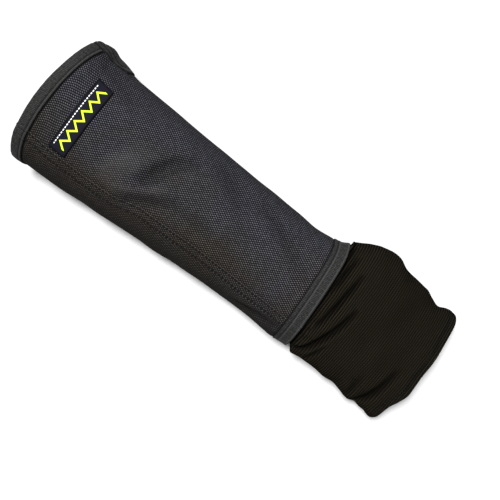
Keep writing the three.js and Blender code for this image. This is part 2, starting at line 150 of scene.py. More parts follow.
cuffSections = tableOf(
    "along width shift height",
    (-0.05, 0.8845, -0.0073, 0.99),
    (0.0, 0.9135, 0.0053, 0.99),
    (0.072, 0.961, 0.0245, 1.0),
    (0.153, 0.99, 0.042, 1.0),
    (0.235, 0.997, 0.0465, 0.99),
    (0.316, 0.995, 0.0445, 0.97),
    (0.397, 0.978, 0.03, 0.94),
    (0.478, 0.958, 0.0205, 0.9),
    (0.56, 0.962, 0.0115, 0.86),
    (0.642, 0.966, -0.003, 0.82),
    (0.722, 0.9315, -0.0095, 0.78),
    (0.804, 0.9255, -0.0225, 0.74),
    (0.885, 0.955, -0.021, 0.71),
    (0.95, 0.9416, -0.016, 0.69),
    (1.0, 0.923, -0.015, 0.68),
)
hemRows = tableOf(
    "around dip",
    (-180, 0.92), (-160, 0.85), (-90, 0.5), (-20, 0.45), (0, 0.36), (18, 0.19), (30, 0.12), (52, 0.1),
    (77, 0.0), (95, 0.08), (114, 0.01), (123, 0.2), (138, 0.61), (158, 0.71), (173, 0.9), (180, 0.92),
)
cuffFolds = tableOf(
    "startAlong startAround bendAlong bendAround endAlong endAround width depth",
    (0.07, 44, 0.045, 60, 0.04, 82, 0.8, 1.3),
    (0.165, 64, 0.135, 90, 0.085, 118, 0.8, 1.4),
    (0.27, 92, 0.2, 126, 0.05, 160, 0.9, 1.7),
    (0.235, 132, 0.205, 142, 0.165, 162, 0.6, 0.8),
    (0.62, 130, 0.615, 146, 0.61, 168, 1.0, 0.7),
    (0.83, 104, 0.78, 138, 0.7, 168, 1.1, 1.35),
)


def mix(low, high, share):
    return low + (high - low) * share


def eased(share):
    t = np.clip(share, 0, 1)
    return t * t * (3 - 2 * t)


def bell(place, at, width, power=2):
    return np.exp(-((place - at) / width) ** power)


def evenly(first, last, count):
    return np.linspace(first, last, count)[None, :]


# Smooth between the rows, and never past them
def readTable(rows, key, column, place):
    keys, values = rows[key], rows[column]
    slopes = np.diff(values) / np.diff(keys)
    before = np.concatenate([slopes[:1], slopes])
    after = np.concatenate([slopes, slopes[-1:]])
    total = np.where(before + after == 0, 1, before + after)
    tangents = np.where(before * after <= 0, 0, 2 * before * after / total)
    at = np.clip(place, keys[0], keys[-1])
    row = np.clip(np.searchsorted(keys, at) - 1, 0, len(keys) - 2)
    width = keys[row + 1] - keys[row]
    t = (at - keys[row]) / width
    rising = 3 * t ** 2 - 2 * t ** 3
    return ((1 - rising) * values[row] + rising * values[row + 1]
            + (t ** 3 - 2 * t ** 2 + t) * width * tangents[row]
            + (t ** 3 - t ** 2) * width * tangents[row + 1])


def elbowEdge(column):
    return elbowEnd + bodyForm["elbowScoop"] * readTable(elbowEdgeRows, "around", "setback", column)


def elbowTapeReach(column):
    return tapeForm["elbowWidth"] * readTable(elbowEdgeRows, "around", "tape", column)


def wristEdge(angle):
    slant = bodyForm["wristSlant"] * (1 + np.cos(np.radians(angle))) / 2
    return wristEnd - slant - bodyForm["wristBend"] * bell(np.asarray(angle), 0, bodyForm["bendAngle"])


def hemEdge(angle):
    return hemEnd - cuffForm["hemDip"] * readTable(hemRows, "around", "dip", angle)


# From the border of the nearer tape, in mm, over the open cloth
def fromTapes(x, column):
    return np.minimum(x - elbowEdge(column) - elbowTapeReach(column),
                      wristEdge(column) - tapeForm["wristWidth"] - tapeForm["stripWidth"] - x)


# How high the cloth lies near a tape, which is what touches the surface there
def tapeLift(x, column):
    return tapeStand * (1 - eased(fromTapes(x, column) / tapeForm["settle"]))


# Width, shift to the side and height of the tube
def sectionAt(rows, along, width, height):
    sizes = {"width": width, "shift": width, "height": height}
    return [sizes[name] * readTable(rows, "along", name, along) for name in sizes]


def bodySection(x):
    along = np.clip((x - elbowEnd) / bodyForm["length"], 0, 1)
    return sectionAt(bodySections, along, mix(bodyForm["elbowWidth"], bodyForm["wristWidth"], along),
                     mix(bodyForm["elbowHeight"], bodyForm["wristHeight"], along))


def cuffSection(x):
    along = (x - wristEnd) / cuffForm["length"]
    return sectionAt(cuffSections, along, cuffForm["width"], cuffForm["height"])


def sectionPoint(section, angle, inset, push, floor):
    width, shift, height = section
    across, up = np.cos(np.radians(angle)), np.sin(np.radians(angle))
    level = height * widestLevel
    reach = np.where(up > 0, height - level, level * pressedReach)
    outY, outZ = across / (width / 2), up / reach
    size = np.hypot(outY, outZ)
    y = shift + (width / 2 - inset) * across + push * outY / size
    z = level + (reach - inset) * up + push * outZ / size
    return y, np.maximum(z, np.maximum(floor + inset, 0))


foldForm = {"steps": 48, "fadeFrom": 0.06, "ridge": 0.8}  # places along a fold, its ends, its side ridges


# Each fold is a curve with a valley along it and a low ridge on both sides. width is that of the tube.
def foldDepth(folds, form, x, angle, start, width, depth=1):
    total = np.zeros(np.broadcast(x, angle).shape)
    perDegree = width / 2 * np.pi / 180
    for k in range(len(folds["width"])):
        nearest = np.full(total.shape, np.inf)
        fade = np.zeros(total.shape)
        for t in np.linspace(0, 1, foldForm["steps"] + 1):
            along, around = (
                mix(mix(folds["start" + way][k], folds["bend" + way][k], t),
                    mix(folds["bend" + way][k], folds["end" + way][k], t), t)
                for way in ("Along", "Around"))
            distance = np.hypot(x - start - form["length"] * along, perDegree * (angle - around))
            closer = distance < nearest
            nearest = np.where(closer, distance, nearest)
            share = mix(foldForm["fadeFrom"], 1 - foldForm["fadeFrom"], t)
            fade = np.where(closer, math.sqrt(math.sin(math.pi * share)), fade)
        q = nearest / (form["foldWidth"] * folds["width"][k])
        total += depth * folds["depth"][k] * fade * (1 - foldForm["ridge"] * q ** 2) * np.exp(-q ** 2)
    return total


# The columns beside the seam follow its path
def followSeam(section, x, column):
    width, _, height = section
    along = np.clip((x - elbowEnd) / bodyForm["length"], 0, 1)
    top = readTable(seamPath, "along", "around", along)
    perDegree = np.radians(np.hypot(width / 2 * np.sin(np.radians(top)),
                                    height * (1 - widestLevel) * np.cos(np.radians(top))))
    foot = top + bodyForm["seamWidth"] / perDegree
    first, last = bodyForm["seamTop"], bodyForm["seamFoot"]
    above = mix(90, top, (column - 90) / (first - 90))
    inside = mix(top, foot, (column - first) / (last - first))
    below = mix(foot, 180, (column - last) / (180 - last))
    return np.where(column <= 90, column,
                    np.where(column <= first, above, np.where(column <= last, inside, below)))


# Fine form of the cloth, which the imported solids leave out
clothDetail = {
    "waviness": 0.45, "waveLengths": (26, 100), "waves": 16, "seed": 4,
    "pucker": 0.14, "puckerPitch": 9, "puckerReach": 8, "puckerDrift": 2.5,
    "tapePucker": 0.6, "puckersRound": 36, "roundDrift": 3,
    "lapEdge": 0.45, "lapEdgeAt": 0.5, "lapEdgeWidth": 0.8, "lapSlope": 0.9,
    "rows": (1.7, 9.4), "rowDepth": 0.4, "rowWidth": 0.6,
    "tapeDip": 0.5, "dipPlace": 0.9, "dipWidth": 0.8,
    "wristFlare": 2.4, "flareLength": 10, "flareAngle": 35,  # where the cuff's bulge pushes the edge out
}


def smoothWaves(settings):
    random = np.random.default_rng(settings["seed"])
    count = settings["waves"]
    return {
        "around": random.integers(1, 9, count),
        "length": random.uniform(*settings["waveLengths"], count) * random.choice([-1, 1], count),
        "phase": random.uniform(0, 2 * np.pi, count),
    }


def waviness(waves, x, angle):
    total = 0
    for around, length, phase in zip(*waves.values()):
        total = total + np.sin(around * np.radians(angle) + 2 * np.pi * x / length + phase)
    return total / math.sqrt(len(waves["phase"]))


bodyWaves = smoothWaves(clothDetail)


# From the lap's folded edge, in mm, downwards
def seamDistance(column):
    first, last = bodyForm["seamTop"], bodyForm["seamFoot"]
    return (column - first) * bodyForm["seamWidth"] / (last - first)


def lapHeight(column):
    down, slope = seamDistance(column), clothDetail["lapSlope"]
    rise = bodyForm["seamRise"] * eased(down / slope + 1) * eased((bodyForm["seamWidth"] - down) / slope + 1)
    edge = clothDetail["lapEdge"] * bell(down, clothDetail["lapEdgeAt"], clothDetail["lapEdgeWidth"])
    sewn = sum(bell(down, row, clothDetail["rowWidth"]) for row in clothDetail["rows"])
    return rise + edge - clothDetail["rowDepth"] * sewn


# Unevenness of the cloth, and the puckers and dips that stitches draw into it
def clothPush(x, column, angle):
    detail = clothDetail
    waves = waviness(bodyWaves, x, angle)
    fromSeam = np.abs(seamDistance(column) - bodyForm["seamWidth"] / 2) - bodyForm["seamWidth"] / 2
    besideSeam = bell(np.maximum(fromSeam, 0), 0, detail["puckerReach"])
    alongSeam = np.sin(2 * np.pi * x / detail["puckerPitch"] + detail["puckerDrift"] * waves)
    fromTape = fromTapes(x, column)
    besideTape = bell(np.maximum(fromTape, 0), 0, detail["puckerReach"])
    roundEnd = np.sin(np.radians(angle) * detail["puckersRound"] + detail["roundDrift"] * waves)
    dip = bell(fromTape, detail["dipPlace"], detail["dipWidth"])
    puckers = besideSeam * alongSeam + detail["tapePucker"] * besideTape * roundEnd
    return detail["waviness"] * waves - detail["tapeDip"] * dip + detail["pucker"] * puckers


def wrapped(angle):
    return (angle + 180) % 360 - 180


# inset 0 is the outer face, and less than 0 stands proud of it
def bodyPoint(x, column, inset):
    x, column = np.broadcast_arrays(np.asarray(x, float), np.asarray(column, float))
    column = wrapped(column)
    section = bodySection(x)
    angle = followSeam(section, x, column)
    push = clothPush(x, column, angle) - foldDepth(
        bodyFolds, bodyForm, x, angle, elbowEnd, section[0], bodyForm["foldDepth"])
    push = push + np.where(np.asarray(inset) <= 0, lapHeight(column), 0)
    nearEdge = eased((x - wristEdge(column)) / clothDetail["flareLength"] + 1)
    push = push + clothDetail["wristFlare"] * nearEdge * bell(column, 0, clothDetail["flareAngle"])
    y, z = sectionPoint(section, angle, inset, push, tapeLift(x, column))
    return np.stack([x, y, z], -1)


knitDetail = {
    "waviness": 0.7, "waveLengths": (18, 70), "waves": 18, "seed": 11, "calmReach": 30, "calmest": 0.25,
    "gather": 0.9, "gatherCount": 22, "gatherReach": 15, "gatherDrift": 3,
    "sideRoll": 0.85, "sideAngle": 40,  # it rolls out sooner at its full side
    "hemRows": (6.2, 8.2), "rowDepth": 0.3, "rowWidth": 0.7, "hemSlope": 0.8,
}
cuffWaves = smoothWaves(knitDetail)


# The cuff leaves the wrist end as a neck inside the tape and rolls out behind it
def cuffPoint(x, angle, inset):
    x, angle = np.broadcast_arrays(np.asarray(x, float), np.asarray(angle, float))
    angle = wrapped(angle)
    edge, detail = wristEdge(angle), knitDetail
    neckX = np.minimum(x, edge)
    neckY, neckZ = sectionPoint(bodySection(neckX), angle, neckInset + inset, 0, tapeLift(neckX, angle))
    section = cuffSection(x)
    fold = foldDepth(cuffFolds, cuffForm, x, angle, edge, section[0], cuffForm["foldDepth"])
    fromHem = hemEdge(angle) - x
    sewn = sum(bell(fromHem, row, detail["rowWidth"]) for row in detail["hemRows"])
    hem = cuffForm["hemRise"] * eased((cuffForm["hemWidth"] - fromHem) / detail["hemSlope"])
    hem = hem - detail["rowDepth"] * sewn
    waves = waviness(cuffWaves, x, angle)
    besideTape = bell(np.maximum(x - edge, 0), 0, detail["gatherReach"])
    gathers = np.sin(np.radians(angle) * detail["gatherCount"] + detail["gatherDrift"] * waves)
    uneven = detail["waviness"] * waves + detail["gather"] * besideTape * gathers
    calm = eased(fromHem / detail["calmReach"] + detail["calmest"])
    push = np.where(np.asarray(inset) > 0, 0, hem) - fold + uneven * calm
    fullY, fullZ = sectionPoint(section, angle, inset, push, 0)
    sooner = 1 - detail["sideRoll"] * bell(angle, 0, detail["sideAngle"])
    out = eased((x - edge - sewnGap) / (cuffForm["roll"] * sooner))
    return np.stack([x, mix(neckY, fullY, out), mix(neckZ, fullZ, out)], -1)


meshDetail = {
    "bodyRows": 200, "bodyInnerRows": 40, "tapeFoldRows": 9,
    "neckRows": 4, "rollRows": 12, "cuffRows": 120, "hemRows": 18, "hemTurnRows": 7, "cuffInnerRows": 44,
    "bodyStep": 1.5, "cuffStep": 1.4, "fineStretches": [(124, 137, 0.3), (8, 36, 0.7)],  # degrees
    "belowSeam": 0.6, "placesFrom": 65,
}


# Columns round the sleeve from just below the seam, closer together in some stretches
def columnsOf(step, fineStretches):
    start = bodyForm["seamFoot"] + meshDetail["belowSeam"] - 360
    places = [start]
    while places[-1] < start + 360 - step / 2:
        at = places[-1]
        pace = min([step] + [fine for low, high, fine in fineStretches if low - step < at < high])
        places.append(at + pace)
    return np.array(places[:-1] if places[-1] > start + 360 - step / 4 else places)


bodyColumns = columnsOf(meshDetail["bodyStep"], meshDetail["fineStretches"])
cuffColumns = columnsOf(meshDetail["cuffStep"], [])


def lengthsAlong(points):
    steps = np.linalg.norm(np.diff(points, axis=0), axis=-1)
    return np.concatenate([np.zeros((1,) + steps.shape[1:]), np.cumsum(steps, axis=0)])


# points in mm. cornerPlaces are the places on the cloth in mm, one for each face corner. The last argument
# is painted light: from 0 to 1 the painted shade in creases, stitch hollows and on shaded sides, below 0 a
# painted highlight.
def addMesh(name, points, faces, cornerPlaces, groove):
    a, b, c, d = (points[faces[:, k]] for k in range(4))
    volume = np.einsum("ij,ij->", a, np.cross(b, c)) + np.einsum("ij,ij->", a, np.cross(c, d))
    if volume < 0:
        faces = faces[:, ::-1]
        cornerPlaces = cornerPlaces[:, ::-1]
    mesh = bpy.data.meshes.new(name)
    mesh.from_pydata((points * metre).tolist(), [], faces.tolist())
    places = mesh.uv_layers.new(name="cloth")
    places.uv.foreach_set("vector", (cornerPlaces * metre).astype(np.float32).ravel())
    depths = mesh.attributes.new("groove", "FLOAT", "POINT")
    depths.data.foreach_set("value", np.clip(groove, -1, 1).astype(np.float32).ravel())
    mesh.polygons.foreach_set("use_smooth", np.ones(len(mesh.polygons), bool))
    mesh.update()
    return addItem(name, mesh)


# The four corners of each face between closed rings of points, as ring and place in the ring
def ringCorners(rings, size):
    i, k = (each.ravel() for each in np.meshgrid(np.arange(rings), np.arange(size), indexing="ij"))
    nextK = (k + 1) % size
    return [(i, k), (i + 1, k), (i + 1, nextK), (i, nextK)]


# grid is columns by points of a closed profile, and placeAcross the place of each point on the cloth.
# The painted shade and highlight cover the first points of the profile, which are on its outer face.
def ringMesh(name, grid, columns, placeAcross, groove):
    count, size = grid.shape[:2]
    lengths = lengthsAlong(np.concatenate([grid, grid[:1]]))
    placeRound = lengths - lengths[np.argmin(np.abs(columns - meshDetail["placesFrom"]))]
    corners = ringCorners(count, size)
    faces = np.stack([i % count * size + k for i, k in corners], -1)
    across = np.stack([placeAcross[i % count, k] for i, k in corners], -1)
    around = np.stack([placeRound[i, k] for i, k in corners], -1)
    depths = np.zeros((count, size))
    depths[:, :groove.shape[1]] = groove
    return addMesh(name, grid.reshape(-1, 3), faces, np.stack([across, around], -1), depths)


def edgeSlant(column):
    rise = elbowEdge(column + 1) - elbowEdge(column - 1)
    run = 2 * np.radians(bodyForm["elbowHeight"] / 2)
    return np.minimum(np.hypot(1, rise / run), 3)


# Even rows between the two tapes, drawn along near them by the slant of their borders
def bodyRowPlaces(column, count):
    first = elbowEnd + tapeForm["elbowWidth"]
    last = wristEnd - tapeForm["wristWidth"] - tapeForm["stripWidth"]
    close = np.array([0, 0.7, 1.4, 2.2, 3.2]) / (last - first)  # mm from the border
    endShare = 0.014
    even = np.linspace(endShare, 1 - endShare, count)
    x = mix(first, last, np.concatenate([close, even, 1 - close[::-1]]))[None, :]
    elbowSlant = (elbowEdge(column) + elbowTapeReach(column) - first)[:, None]
    beforeLabel = bodyForm["labelFromElbow"] - tapeForm["elbowWidth"] - bodyForm["labelWidth"] / 2
    fade = np.maximum(beforeLabel, 3 * elbowSlant)
    wristSlip = (wristEdge(column) - wristEnd)[:, None]
    return (x + elbowSlant * (1 - eased((x - first) / fade))
            + wristSlip * (1 - eased((last - x) * 4 / bodyForm["length"])))


# Strength, place and width in mm of each line of painted shade or painted highlight on the shell
shellTone = {
    "sewn": 0.85, "sewnWidth": 0.7,
    "underLap": (0.5, -1.0, 0.6), "paintedLapHighlight": (0.55, 0.2, 0.5), "besideTape": (1, 0.5, 0.8),
    "fold": 0.34,
    "nearSideAt": 178, "nearSideShade": (0.9, 0, 44), "farSideShade": (0.55, 0, 42),  # degrees: painted shade on both flanks
}


innerPlaces = 500  # mm, so that the weave inside doesn't repeat the outside's


def toneLine(place, line):
    strength, at, width = line
    return strength * bell(place, at, width)


def makeShell():
    column = wrapped(bodyColumns)
    low = elbowEdge(column) + tapeStand * edgeSlant(column)
    middle = mix(low, elbowEdge(column) + elbowTapeReach(column), 0.5)
    high = wristEdge(column)

    def faceRows(count):
        beside = [each[:, None] for each in (low, middle, high - tapeForm["wristWidth"], high - tapeStand)]
        return np.concatenate(beside[:2] + [bodyRowPlaces(column, count)] + beside[2:], axis=1)

    outerX, innerX = faceRows(meshDetail["bodyRows"]), faceRows(meshDetail["bodyInnerRows"])[:, ::-1]
    angle = column[:, None]
    outer = bodyPoint(outerX, angle, 0)
    inner = bodyPoint(innerX, angle, bodyForm["wall"])
    grid = np.concatenate([outer, inner], axis=1)
    across = np.concatenate([outerX - elbowEnd, innerX - elbowEnd + innerPlaces], axis=1)
    down = seamDistance(angle)
    fold = foldDepth(bodyFolds, bodyForm, outerX, angle, elbowEnd, bodyForm["elbowWidth"])
    # Painted shade in the stitch rows, under the lap's edge, beside the tapes and in fold valleys; painted
    # highlight on the lap's edge and on fold ridges
    sewn = sum(bell(down, row, shellTone["sewnWidth"], 4) for row in clothDetail["rows"])
    # Painted shade on both flanks of the shell
    sides = (toneLine(wrapped(angle - shellTone["nearSideAt"]), shellTone["nearSideShade"])
             + toneLine(angle, shellTone["farSideShade"]))
    groove = (shellTone["sewn"] * sewn + toneLine(down, shellTone["underLap"])
              + toneLine(fromTapes(outerX, angle), shellTone["besideTape"])
              - toneLine(down, shellTone["paintedLapHighlight"]) + shellTone["fold"] * np.clip(fold, -1, 1) + sides)
    return ringMesh("sleeveShell", grid, bodyColumns, across, groove)


shell = makeShell()
print("shell made:", len(shell.data.polygons), "faces")


# A tape folded over an edge: outer face, fold, inner leg, and back along both sides of the wall.
# Every list runs over the profile, and faceX ends and innerX starts at the fold.
def tapeGrid(edge, slant, faceX, faceStand, innerX, backX):
    column = wrapped(bodyColumns)[:, None]
    fold = evenly(0, 1, meshDetail["tapeFoldRows"])[:, 1:-1]
    deepest = innerTapeFace + tapeForm["thickness"]
    foldX = edge + tapeForm["foldReach"] * slant * (1 - np.sin(np.pi * fold))
    foldInset = mix(-faceStand[:, -1:], deepest, (1 - np.cos(np.pi * fold)) / 2)
    x = np.concatenate([faceX, foldX, innerX, innerX[:, ::-1], backX], axis=1)
    inset = np.concatenate([
        -faceStand, foldInset, np.full(innerX.shape, deepest),
        np.full(innerX.shape, innerTapeFace), np.full(backX.shape, -sewnGap)], axis=1)
    return np.stack([bodyPoint(x[:, k:k + 1], column, inset[:, k:k + 1])[:, 0] for k in range(x.shape[1])], 1)


def makeTapeRing(name, grid, groove):
    return ringMesh(name, grid, bodyColumns, lengthsAlong(grid.swapaxes(0, 1)).swapaxes(0, 1), groove)


elbowTape = {
    "rows": 30, "fromEdge": 0.13, "innerRows": 9, "backRows": 6, "backFrom": 0.1,
    "borderSlope": 0.8, "borderRise": 0.12, "crown": 0.2,
    "sewnAt": 3.4, "sewnDepth": 0.45, "sewnWidth": 0.7,  # from the border
    "creases": [(32.0, 1.3), (27.0, 0.8), (22.0, 0.8)],  # where it turns the corner, in degrees
    "creaseDepth": 0.8, "creaseTone": 1.1,
    "sewnTone": (0.7, 3.4, 0.5), "borderTone": (1, 0, 0.45), "paintedHighlightTone": (0.6, 2.0, 0.7),
}


def makeElbowBinding():
    form, width, sewnAt = elbowTape, tapeForm["elbowWidth"], elbowTape["sewnAt"]
    column = wrapped(bodyColumns)[:, None]
    edge, reach, slant = elbowEdge(column), elbowTapeReach(column), edgeSlant(column)
    share = evenly(1, form["fromEdge"], form["rows"])
    fromBorder = (1 - share) * width
    crease = sum(bell(column, place, spread) for place, spread in form["creases"])
    stand = (sewnGap + tapeForm["thickness"] * eased(fromBorder / form["borderSlope"] + tapeForm["edgeFrom"])
             + form["borderRise"] * eased(fromBorder)
             - form["sewnDepth"] * bell(fromBorder, sewnAt, form["sewnWidth"])
             + form["crown"] * np.sin(np.pi * np.clip((fromBorder - sewnAt) / (width - sewnAt), 0, 1))
             - form["creaseDepth"] * crease)
    bend = tapeForm["foldReach"] * slant
    innerReach = reach * tapeForm["elbowInnerWidth"] / width
    grid = tapeGrid(
        edge, slant, edge + np.maximum(reach * share, bend), stand,
        edge + np.maximum(innerReach * evenly(0, 1, form["innerRows"]), bend),
        edge + np.maximum(reach * evenly(form["backFrom"], 1, form["backRows"]), bend))
    # Painted shade along the stitch groove, the tape's inner border and the corner creases, and a painted
    # highlight line 2 mm in from the border
    groove = (toneLine(fromBorder, form["sewnTone"]) + toneLine(fromBorder, form["borderTone"])
              + form["creaseTone"] * crease - toneLine(fromBorder, form["paintedHighlightTone"]))
    return makeTapeRing("elbowBinding", grid, groove)


wristTape = {
    "stripRows": 12, "bandRows": 26, "bandFrom": 1.7, "innerRows": 7, "backRows": 8,
    "stepAt": 0.3, "stepSlope": 0.6, "stripThickness": 0.6, "stripSlope": 0.7,
    "rowAt": 0.6, "rowDepth": 0.25, "rowWidth": 0.5, "rowToneWidth": 0.6,  # from the band's inner border
    "bandDrop": 0.05, "edgeRise": 0.28, "innerEdge": 1.1, "innerEdgeWidth": 0.8,
    "outerEdge": 2.0, "outerEdgeWidth": 1.1,
    "stripToneWidth": 0.45, "paintedHighlightTone": 0.9, "paintedHighlightWidth": 0.6, "outerHighlight": 2.2,
}


def makeWristBinding():
    form, width, strip = wristTape, tapeForm["wristWidth"], tapeForm["stripWidth"]
    column = wrapped(bodyColumns)[:, None]
    edge = wristEdge(column)
    slant = np.ones_like(edge)
    stepPlace = width + form["stepAt"]
    place = np.concatenate([np.linspace(width + strip, stepPlace, form["stripRows"]),
                            np.linspace(width, form["bandFrom"], form["bandRows"])])[None, :]
    row, innerEdge = width + form["rowAt"], width - form["innerEdge"]
    onStrip = eased((width + strip - place) / form["stripSlope"] + tapeForm["edgeFrom"])
    stripStand = (sewnGap + tapeForm["thickness"] * form["stripThickness"] * onStrip
                  - form["rowDepth"] * bell(place, row, form["rowWidth"]))
    bandStand = tapeStand - form["bandDrop"] + form["edgeRise"] * (
        bell(place, innerEdge, form["innerEdgeWidth"])
        + bell(place, form["outerEdge"], form["outerEdgeWidth"]))
    stand = mix(stripStand, bandStand, eased((stepPlace - place) / form["stepSlope"])) * np.ones_like(edge)
    reach = tapeForm["foldReach"]
    grid = tapeGrid(edge, -slant, edge - place, stand,
                    edge - evenly(reach, width, form["innerRows"]),
                    edge - evenly(reach, width + strip, form["backRows"]))
    # Painted highlight along both borders of the band, and painted shade along the stitch row and the strip's
    # edge
    paintedHighlight = bell(place, innerEdge, form["paintedHighlightWidth"]) + bell(place, form["outerHighlight"], form["paintedHighlightWidth"])
    groove = (bell(place, row, form["rowToneWidth"]) + bell(place, width + strip, form["stripToneWidth"])
              - form["paintedHighlightTone"] * paintedHighlight)
    return makeTapeRing("wristBinding", grid, groove)


elbowBinding = makeElbowBinding()
wristBinding = makeWristBinding()
print("tapes made")


# Widths and strengths of the painted shade on the cuff
cuffTone = {"besideTape": 2.2, "fold": 0.7, "side": (0.35, 0, 30), "sewn": 0.85, "sewnWidth": 0.6}


def makeCuff():
    angle = wrapped(cuffColumns)[:, None]
    edge, hem = wristEdge(angle), hemEdge(angle)
    rolled = edge + sewnGap + cuffForm["roll"]
    turnedFrom, turnedEnd = hem - cuffForm["hemWidth"], hem - 1
    outerX = np.concatenate([
        edge - cuffForm["tuck"] * (1 - evenly(0, 1, meshDetail["neckRows"])[:, :-1]),
        mix(edge, rolled, evenly(0, 1, meshDetail["rollRows"])[:, :-1]),
        mix(rolled, turnedFrom, evenly(0, 1, meshDetail["cuffRows"])[:, :-1]),
        mix(turnedFrom, turnedEnd, evenly(0, 1, meshDetail["hemRows"]))], axis=1)
    endTurn = evenly(0, np.pi, meshDetail["hemTurnRows"])[:, 1:-1]
    endX = turnedEnd + np.sin(endTurn)
    innerX = mix(turnedEnd, edge - cuffForm["tuck"], evenly(0, 1, meshDetail["cuffInnerRows"]))
    outer = cuffPoint(outerX, angle, 0)
    inner = cuffPoint(innerX, angle, cuffForm["wall"])
    end = mix(outer[:, -1:], inner[:, :1], ((1 - np.cos(endTurn)) / 2)[..., None])
    end[..., 0] = endX
    grid = np.concatenate([outer, end, inner], axis=1)
    across = np.concatenate([outerX, endX + innerPlaces, innerX + innerPlaces], axis=1)
    fold = foldDepth(cuffFolds, cuffForm, outerX, angle, edge, cuffForm["width"])
    # Painted shade behind the wrist tape, in fold valleys, towards the +Y side and along the hem's stitch
    # rows
    sewn = sum(bell(hem - outerX, row, cuffTone["sewnWidth"]) for row in knitDetail["hemRows"])
    groove = (bell(np.maximum(outerX - edge - 1, 0), 0, cuffTone["besideTape"])
              + cuffTone["fold"] * np.clip(fold, 0, 1) + toneLine(angle, cuffTone["side"])
              + cuffTone["sewn"] * sewn)
    return ringMesh("knitCuff", grid, cuffColumns, across, groove)


cuff = makeCuff()
print("cuff made:", len(cuff.data.polygons), "faces")


labelForm = {
    "length": 84, "fromSeam": 2, "thickness": 1, "bow": -1.6, "slant": -1.0,
    "columns": 110, "rows": 26, "border": 1.3, "walkFrom": 0.6, "walkTo": 20, "walkStep": 0.25,
    "edgeShare": 0.45, "bodyShare": 0.4, "rowShare": 0.25, "middleShare": 0.15,  # of the thickness
    "edgeSlope": 0.7, "rowWidth": 0.5, "middleSlope": 3,
    "rowTone": 0.5, "rowToneWidth": 0.45, "rimTone": 1.2, "rimToneWidth": 0.95,
}


# Body place of a point on the label: x, and the column that a walk from the seam comes to
def labelPlaces(along, across):
    middle = elbowEnd + bodyForm["labelFromElbow"]
    start = bodyForm["seamTop"] - labelForm["walkFrom"]
    walk = np.arange(start, labelForm["walkTo"], -labelForm["walkStep"])
    lengths = lengthsAlong(bodyPoint(np.full(walk.shape, middle), walk, 0))
    column = np.interp(labelForm["fromSeam"] + along, lengths, walk)
    share = along / labelForm["length"]
    bow = labelForm["bow"] * (1 - (2 * share - 1) ** 2)
    return middle + across - bow + labelForm["slant"] * (0.5 - share), column


def makeLabel():
    form, width, edge = labelForm, bodyForm["labelWidth"], labelForm["border"]
    along = np.linspace(0, form["length"], form["columns"])
    across = np.linspace(-width / 2, width / 2, form["rows"])
    grid = np.meshgrid(along, across, indexing="ij")
    x, column = labelPlaces(*grid)
    inFrom = np.minimum(width / 2 - np.abs(grid[1]), np.minimum(grid[0], form["length"] - grid[0]))
    stand = sewnGap + form["thickness"] * (
        form["edgeShare"] + form["bodyShare"] * eased(inFrom / form["edgeSlope"])
        - form["rowShare"] * bell(inFrom, edge, form["rowWidth"])
        + form["middleShare"] * eased((inFrom - edge) / form["middleSlope"]))
    top = bodyPoint(x, column, -stand)
    bottom = bodyPoint(x, column, np.full(x.shape, -sewnGap * 0.5))[:, ::-1]
    loops = np.concatenate([top, bottom], axis=1)
    flat = np.stack(grid, -1)
    placeLoops = np.concatenate([flat, flat[:, ::-1] + [0, 100]], axis=1)
    columns, size = loops.shape[:2]
    faces = np.stack([i * size + k for i, k in ringCorners(columns - 1, size)], -1)
    caps = []
    for k in range(1, size // 2):
        near = [k - 1, k, size - k - 1, size - k]
        caps += [near, [(columns - 1) * size + corner for corner in near[::-1]]]
    faces = np.concatenate([faces, np.array(caps)])
    # Painted shade along the label's stitched border and round its rim
    groove = np.zeros(loops.shape[:2])
    groove[:, :size // 2] = (form["rowTone"] * bell(inFrom, edge, form["rowToneWidth"])
                             + form["rimTone"] * bell(inFrom, 0, form["rimToneWidth"], 4))
    return addMesh("label", loops.reshape(-1, 3), faces, placeLoops.reshape(-1, 2)[faces], groove)


label = makeLabel()
print("label made")


# Stitches, laid along paths by Geometry Nodes. stand is how far a row's middle lies above the cloth.
stitchForm = {
    "seam": {"pitch": 3.5, "length": 1.9, "radius": 0.5, "stand": 0.12,
             "fromTape": 1, "beforeWrist": 18, "points": 260},
    "tape": {"pitch": 3.0, "length": 2.2, "radius": 0.34, "outside": -0.15, "inside": 0.1, "strip": 0.5},
    "label": {"pitch": 2.2, "length": 1.7, "radius": 0.26, "stand": 0.72, "pointsASide": 60},
    "hem": {"pitch": 3.2, "length": 2.4, "radius": 0.3, "stand": 0.12},
}
stitchLean = 0.07  # how far a stitch may turn out of its row, in radians


# given holds settings by the property's name, and what each input gets by its name or number: a value,
# or the socket or node that feeds it. A node stands for its first output.
def addNode(tree, kind, given=None):
    node = tree.nodes.new(kind)
    for key, value in (given or {}).items():
        source = value.outputs[0] if hasattr(value, "outputs") else value
        if isinstance(source, bpy.types.NodeSocket):
            tree.links.new(source, node.inputs[key])
        elif isinstance(key, str) and hasattr(node, key):
            setattr(node, key, value)
        else:
            node.inputs[key].default_value = value
    return node


